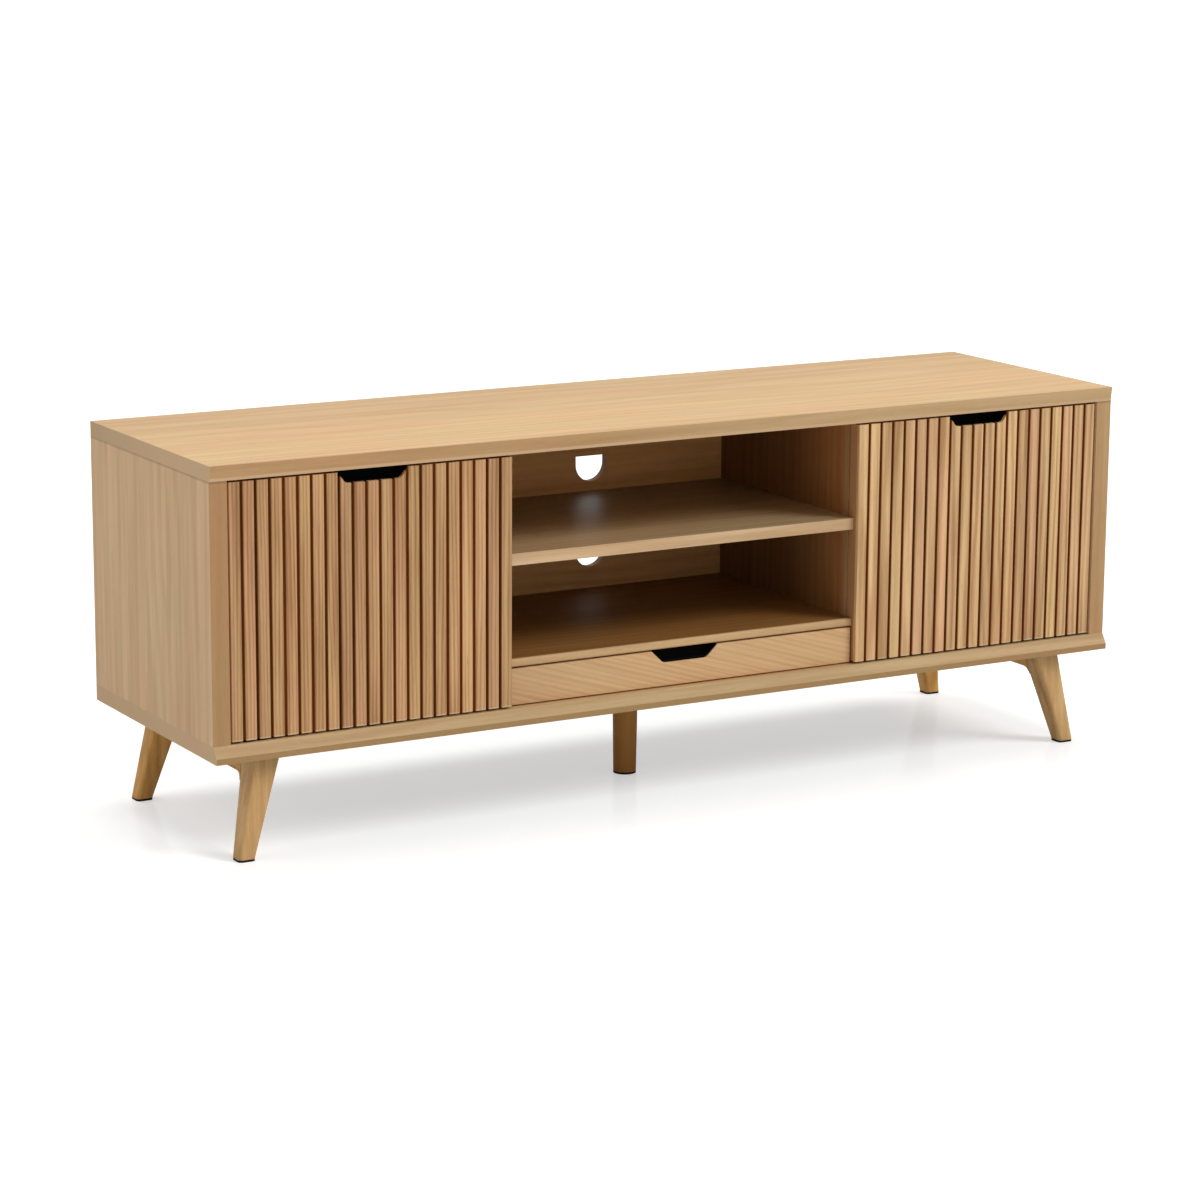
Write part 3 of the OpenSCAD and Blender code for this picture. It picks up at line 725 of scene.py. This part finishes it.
class CABINET_OT_shell(bpy.types.Operator):
    """Finishes the top board, the bottom board and the two end panels"""
    bl_idname = "cabinet.shell"
    bl_label = "Top, Base and Ends"
    bl_options = {"REGISTER", "UNDO"}

    def execute(self, context):
        oak = context.scene.cabinet_wood
        width = context.scene.cabinet_hardware.easing
        light, dark = rgb(oak.face), rgb(oak.face_dark)
        front = (rgb(oak.edge), rgb(oak.edge_dark))
        olive = (rgb(oak.edge_olive), rgb(oak.edge_olive_dark))
        ends = (TOP_HIGH.x - 0.0003, rgb(oak.end_grain))
        # The top: a painted highlight on its lip, painted light that makes its front lipping paler
        # toward the right, and painted shade that darkens it toward the back.
        eased("top_board", width, wood(
            "top_oak", light, dark, "x", 1.0, edge=(TOP_LOW.y + LIP_DEPTH, *front), ends=ends,
            nose=(0.995, rgb(oak.lip)), lit_edge=(-0.14, 0.02, *olive),
            painted_shading=(Y, -0.05, 0.2, 1.02, 0.87), pith=(0.08, 0.35), strength=0.75))
        # The base: painted shade makes its upright nose darker.
        eased("bottom_board", width, wood(
            "base_oak", light, dark, "x", 2.0, edge=(BASE_LOW.y + NOSE_DEPTH, *olive), ends=ends,
            nose=(0.95, rgb(oak.nose)), under=rgb(oak.balance)))
        # The end panels: a painted shadow line just under the top.
        shadow_line = (Z, SIDE_HIGH.z - SHADOW_LINE_START, SIDE_HIGH.z - SHADOW_LINE_FULL, 1.0, 0.7)
        # The right end panel's paler front edge is painted light.
        for side, seed, side_edge in (("left", 3.0, oak.end_edge), ("right", 4.0, oak.lit_end_edge)):
            eased(side + "_side", width, wood(
                side + "_end_oak", rgb(oak.end), rgb(oak.end_dark), "z", seed,
                strip=(SIDE_LOW.y, 0.07, Y), spread=0.03, strength=0.8,
                edge=(SIDE_LOW.y, rgb(side_edge), rgb(oak.edge_dark)), painted_shading=shadow_line))
        return {"FINISHED"}


class CABINET_OT_bay(bpy.types.Operator):
    """Finishes the dividers, the bay boards, the back panel and the loose shelves"""
    bl_idname = "cabinet.bay"
    bl_label = "Bay and Cupboards"
    bl_options = {"REGISTER", "UNDO"}

    def execute(self, context):
        oak = context.scene.cabinet_wood
        width = context.scene.cabinet_hardware.easing
        light, dark = rgb(oak.inside), rgb(oak.inside_dark)
        face, face_dark = rgb(oak.face), rgb(oak.face_dark)
        # The bay shelf darkens toward the back, as painted shade.
        eased("bay_shelf", width, wood(
            "shelf_oak", rgb(oak.mid), rgb(oak.mid_dark), "x", 6.0, roughness=0.4,
            edge=(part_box("bay_shelf")[0].y, rgb(oak.shelf), light),
            painted_shading=(Y, -0.11, 0.1, 1.03, 0.6)))
        # The bay floor: its darker colour is painted shade; its front lipping has the ordinary face
        # colour.
        smoothed("bay_floor", wood(
            "bay_floor_oak", rgb(oak.low), rgb(oak.low_dark), "x", 7.0,
            edge=(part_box("bay_floor")[0].y + LIP_DEPTH, face, light)))
        # The dividers: darker overall, lighter at the front and darker toward the back, as painted
        # shade.
        finish_nodes(
            wood("divider_oak", rgb(oak.wall_shaded), rgb(oak.wall_shaded_dark), "z", 8.0,
                 painted_shading=(Y, -0.17, -0.02, 1.5, 0.68)),
            "left_divider", "right_divider")
        finish_nodes(wood("lipping_oak", light, dark, "z", 9.0), "divider_lippings")
        finish_nodes(
            wood("back_oak", rgb(oak.back), rgb(oak.back_dark), "x", 10.0,
                 behind=(face, face_dark), cut=rgb(oak.cut)),
            "back_panel")
        loose = wood("loose_shelf_oak", light, dark, "x", 11.0)
        for node in ("left_cupboard_shelf", "right_cupboard_shelf"):
            eased(node, width, loose)
        return {"FINISHED"}


class CABINET_OT_doors(bpy.types.Operator):
    """Finishes the two slatted doors and their finger cups"""
    bl_idname = "cabinet.doors"
    bl_label = "Slatted Doors"
    bl_options = {"REGISTER", "UNDO"}

    def execute(self, context):
        cup = plastic("finger_cup", rgb(context.scene.cabinet_hardware.black), **CUP)
        for side, (seed, light_level) in DOORS.items():
            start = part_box(side + "_door_slats")[0].x
            finish_nodes(slat_wood(side + "_slat_oak", start, seed, light_level), side + "_door_slats")
            finish_nodes(stained(side + "_door_ground", start, seed), side + "_door_panel")
            finish_nodes(cup, side + "_door_cup")
        return {"FINISHED"}


class CABINET_OT_drawer(bpy.types.Operator):
    """Finishes the drawer, its finger cup and its runners"""
    bl_idname = "cabinet.drawer"
    bl_label = "Drawer"
    bl_options = {"REGISTER", "UNDO"}

    def execute(self, context):
        oak = context.scene.cabinet_wood
        hardware = context.scene.cabinet_hardware
        # The drawer front darkens toward its left end, as painted light that is stronger on the right.
        eased("drawer_front", hardware.easing, wood(
            "drawer_front_oak", rgb(oak.drawer), rgb(oak.drawer_dark), "x", 12.0,
            pith=(-0.18, 0.19), slope=0.3, rings=430.0, strength=0.95,
            painted_shading=(X, -0.26, -0.06, 0.86, 1.0)))
        bare = {"light": rgb(oak.bare), "dark": rgb(oak.inside), "roughness": 0.62, "strength": 0.45}
        finish_nodes(wood("drawer_box_wood", axis="y", seed=13.0, **bare),
                     "drawer_left_side", "drawer_right_side", "drawer_bottom", "drawer_dowels")
        finish_nodes(wood("drawer_back_wood", axis="x", seed=14.0, **bare), "drawer_back")
        finish_nodes(plastic("drawer_cup", rgb(hardware.black), **CUP), "drawer_cup")
        finish_nodes(wood("runner_oak", rgb(oak.inside), rgb(oak.inside_dark), "y", 15.0),
                     "left_runner", "right_runner")
        return {"FINISHED"}


class CABINET_OT_legs(bpy.types.Operator):
    """Finishes the legs, the leg rails and the glides"""
    bl_idname = "cabinet.legs"
    bl_label = "Legs"
    bl_options = {"REGISTER", "UNDO"}

    def execute(self, context):
        oak = context.scene.cabinet_wood
        # The back legs and the rails take the browner oak, which is painted shade.
        light, dark = rgb(oak.rear_shaded), rgb(oak.rear_shaded_dark)
        # Painted shade: the corner legs darken just under the base.
        corner = {"axis": "z", "pith": (0.62, 0.1),
                  "painted_shading": (Z, BASE_LOW.z - LEG_SHADE, BASE_LOW.z, 1.0, 0.78)}
        front = wood("front_leg_oak", rgb(oak.leg), rgb(oak.leg_dark), seed=16.0, **corner)
        back = wood("back_leg_oak", light, dark, seed=17.0, **corner)
        for side in ("left", "right"):
            smoothed("front_%s_leg" % side, front)
            smoothed("back_%s_leg" % side, back)
        # The centre leg's darker oak is painted shade.
        smoothed("centre_leg", wood("turned_oak", rgb(oak.turned), dark, "z", 19.0))
        rail = wood("rail_oak", light, dark, "y", 20.0)
        for node in ("left_leg_rail", "right_leg_rail"):
            smoothed(node, rail)
        glide = plastic("glide_plastic", rgb(context.scene.cabinet_hardware.black),
                        roughness=0.55, specular=0.25)
        for node in ("corner_glides", "centre_glide"):
            smoothed(node, glide)
        return {"FINISHED"}


class CABINET_OT_fittings(bpy.types.Operator):
    """Finishes the hinges, catches, pins, screws, bolts and dowels"""
    bl_idname = "cabinet.fittings"
    bl_label = "Fittings"
    bl_options = {"REGISTER", "UNDO"}

    def execute(self, context):
        oak = context.scene.cabinet_wood
        metal = context.scene.cabinet_hardware
        steel = [part["node"] for part in frame["record"]["subparts"]
                 if part["material_slot"] == "steel"]
        finish_nodes(zinc_plate("zinc_plate", rgb(metal.zinc)), *steel)
        finish_nodes(plastic("nylon", rgb(metal.nylon), roughness=0.4, specular=0.4),
                     "hinge_washers")
        finish_nodes(plastic("catch_plastic", rgb(metal.black), roughness=0.5, specular=0.25),
                     "door_catches")
        finish_nodes(wood("dowel_wood", rgb(oak.bare), rgb(oak.inside), "z", 18.0),
                     "board_dowels", "shelf_dowels")
        return {"FINISHED"}


class CABINET_OT_stage(bpy.types.Operator):
    """Lays the white floor and sets up the light and the camera"""
    bl_idname = "cabinet.stage"
    bl_label = "Floor, Light and Camera"
    bl_options = {"REGISTER", "UNDO"}

    def execute(self, context):
        settings = context.scene.cabinet_stage
        self.floor(settings)
        self.sky(context.scene, settings)
        for name, width, direction in LAMPS:
            self.sun(context.scene, name, getattr(settings, name), width, direction)
        self.camera(context.scene, settings)
        context.scene.view_settings.view_transform = "Standard"
        return {"FINISHED"}

    def floor(self, settings):
        """A matt floor that glows where it is seen, with a faint gloss."""
        deselect()
        bpy.ops.mesh.primitive_plane_add(size=settings.floor_size, location=(0, 0, 0))
        floor = bpy.context.object
        floor.name = "floor"
        finish = Finish("white_floor", roughness=1.0, specular=0.0)
        finish.feed("Base Color", FLOOR_BOUNCE)
        matt = finish.node("BsdfDiffuse", sockets={"Color": FLOOR_MATT})
        glow = finish.node("Emission", sockets={"Color": WHITE, "Strength": FLOOR_GLOW})
        gloss = finish.node(
            "BsdfGlossy", sockets={"Color": FLOOR_GLOSS, "Roughness": FLOOR_GLOSS_BLUR})
        shown = finish.node("AddShader", sockets={0: matt, 1: glow})
        shown = finish.node("AddShader", sockets={0: shown, 1: gloss})
        seen = finish.node("LightPath", out="Is Camera Ray")
        bounced = Value(finish, finish.shader.outputs[0])
        finish.show("Material Output", finish.node(
            "MixShader", sockets={0: seen, 1: bounced, 2: shown}))
        paint(floor, finish.material)

    def sky(self, scene, settings):
        """An even sky that looks white to the camera, in gloss and through clear pieces."""
        world = bpy.data.worlds.new("studio")
        scene.world = world
        world.use_nodes = True
        nodes = Nodes(world.node_tree)
        path = nodes.node("LightPath").socket.node
        seen, gloss, clear = (Value(nodes, path.outputs["Is %s Ray" % kind])
                              for kind in ("Camera", "Glossy", "Transmission"))
        lit = nodes.node("Background", sockets={"Color": WHITE, "Strength": settings.sky})
        white = nodes.node("Background", sockets={"Color": WHITE, "Strength": 1.0})
        nodes.show("World Output", nodes.node(
            "MixShader", sockets={0: seen.larger(gloss).larger(clear), 1: lit, 2: white}))

    def sun(self, scene, name, strength, width, direction):
        """A soft lamp that shines along a direction."""
        data = bpy.data.lights.new(name, "SUN")
        data.energy = strength
        data.angle = math.radians(width)
        lamp = bpy.data.objects.new(name, data)
        scene.collection.objects.link(lamp)
        lamp.matrix_world = Vector(direction).to_track_quat("-Z", "Y").to_matrix().to_4x4()

    def camera(self, scene, settings):
        """A camera at the front left that looks a little down at the cabinet."""
        data = bpy.data.cameras.new("camera")
        data.lens = settings.lens
        data.sensor_width = SENSOR_WIDTH
        data.clip_end = FAR_CLIP
        camera = bpy.data.objects.new("camera", data)
        scene.collection.objects.link(camera)
        forward = Vector((math.sin(CAMERA_YAW) * math.cos(CAMERA_PITCH),
                          math.cos(CAMERA_YAW) * math.cos(CAMERA_PITCH),
                          math.sin(CAMERA_PITCH)))
        right = Vector((math.cos(CAMERA_YAW), -math.sin(CAMERA_YAW), 0))
        up = right.cross(forward)
        turned_right = right * math.cos(CAMERA_ROLL) + up * math.sin(CAMERA_ROLL)
        turned_up = up * math.cos(CAMERA_ROLL) - right * math.sin(CAMERA_ROLL)
        rows = zip(turned_right, turned_up, -forward, CAMERA_PLACE)
        camera.matrix_world = Matrix((*rows, (0, 0, 0, 1)))
        scene.camera = camera


STEPS = (CABINET_OT_shell, CABINET_OT_bay, CABINET_OT_doors, CABINET_OT_drawer, CABINET_OT_legs,
         CABINET_OT_fittings, CABINET_OT_stage)
SETTINGS = {"cabinet_wood": CabinetWood, "cabinet_hardware": CabinetHardware,
            "cabinet_stage": CabinetStage}


class CABINET_PT_panel(bpy.types.Panel):
    """The cabinet's steps and settings"""
    bl_idname = "CABINET_PT_panel"
    bl_label = "Media Cabinet"
    bl_space_type = "VIEW_3D"
    bl_region_type = "UI"
    bl_category = "Cabinet"

    def draw(self, context):
        for step in STEPS:
            self.layout.operator(step.bl_idname)
        for name, group in SETTINGS.items():
            box = self.layout.box()
            box.label(text=group.__name__)
            for setting in group.__annotations__:
                box.prop(getattr(context.scene, name), setting)


def register():
    for group in SETTINGS.values():
        bpy.utils.register_class(group)
    for name, group in SETTINGS.items():
        setattr(bpy.types.Scene, name, PointerProperty(type=group))
    for step in STEPS:
        bpy.utils.register_class(step)
    bpy.utils.register_class(CABINET_PT_panel)


def unregister():
    bpy.utils.unregister_class(CABINET_PT_panel)
    for step in reversed(STEPS):
        bpy.utils.unregister_class(step)
    for name in SETTINGS:
        delattr(bpy.types.Scene, name)
    for group in reversed(list(SETTINGS.values())):
        bpy.utils.unregister_class(group)


def main():
    register()
    for step in STEPS:
        getattr(bpy.ops.cabinet, step.bl_idname.split(".")[1])()


if __name__ == "__main__":
    main()
